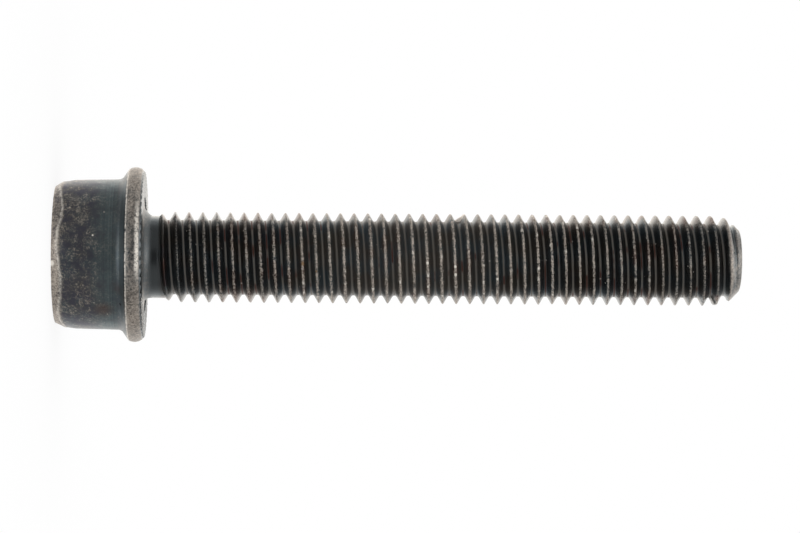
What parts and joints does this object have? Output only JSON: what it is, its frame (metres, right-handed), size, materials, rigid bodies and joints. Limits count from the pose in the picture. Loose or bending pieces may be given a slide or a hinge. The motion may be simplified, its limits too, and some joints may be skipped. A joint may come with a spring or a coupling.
{
  "type": "flanged socket head cap screw",
  "caption": "Hex socket head cap screw with a serrated flange and a coarse metric thread along its whole shank, black steel worn bright on its edges.",
  "frame": {"origin": "centre of the head's flat top, where the hex socket opens, which is the face that the screw stands on", "axes": "+Z runs from the head along the shank to its tip; two flats of the hex socket face +Y and -Y"},
  "size_m": [0.019, 0.019, 0.0746],
  "materials": {
    "black_steel": "black oxide, rubbed to grey steel on the head, the flange and the thread crests"
  },
  "bodies": {
    "root": {"screw": "black_steel"}
  },
  "joints": []
}
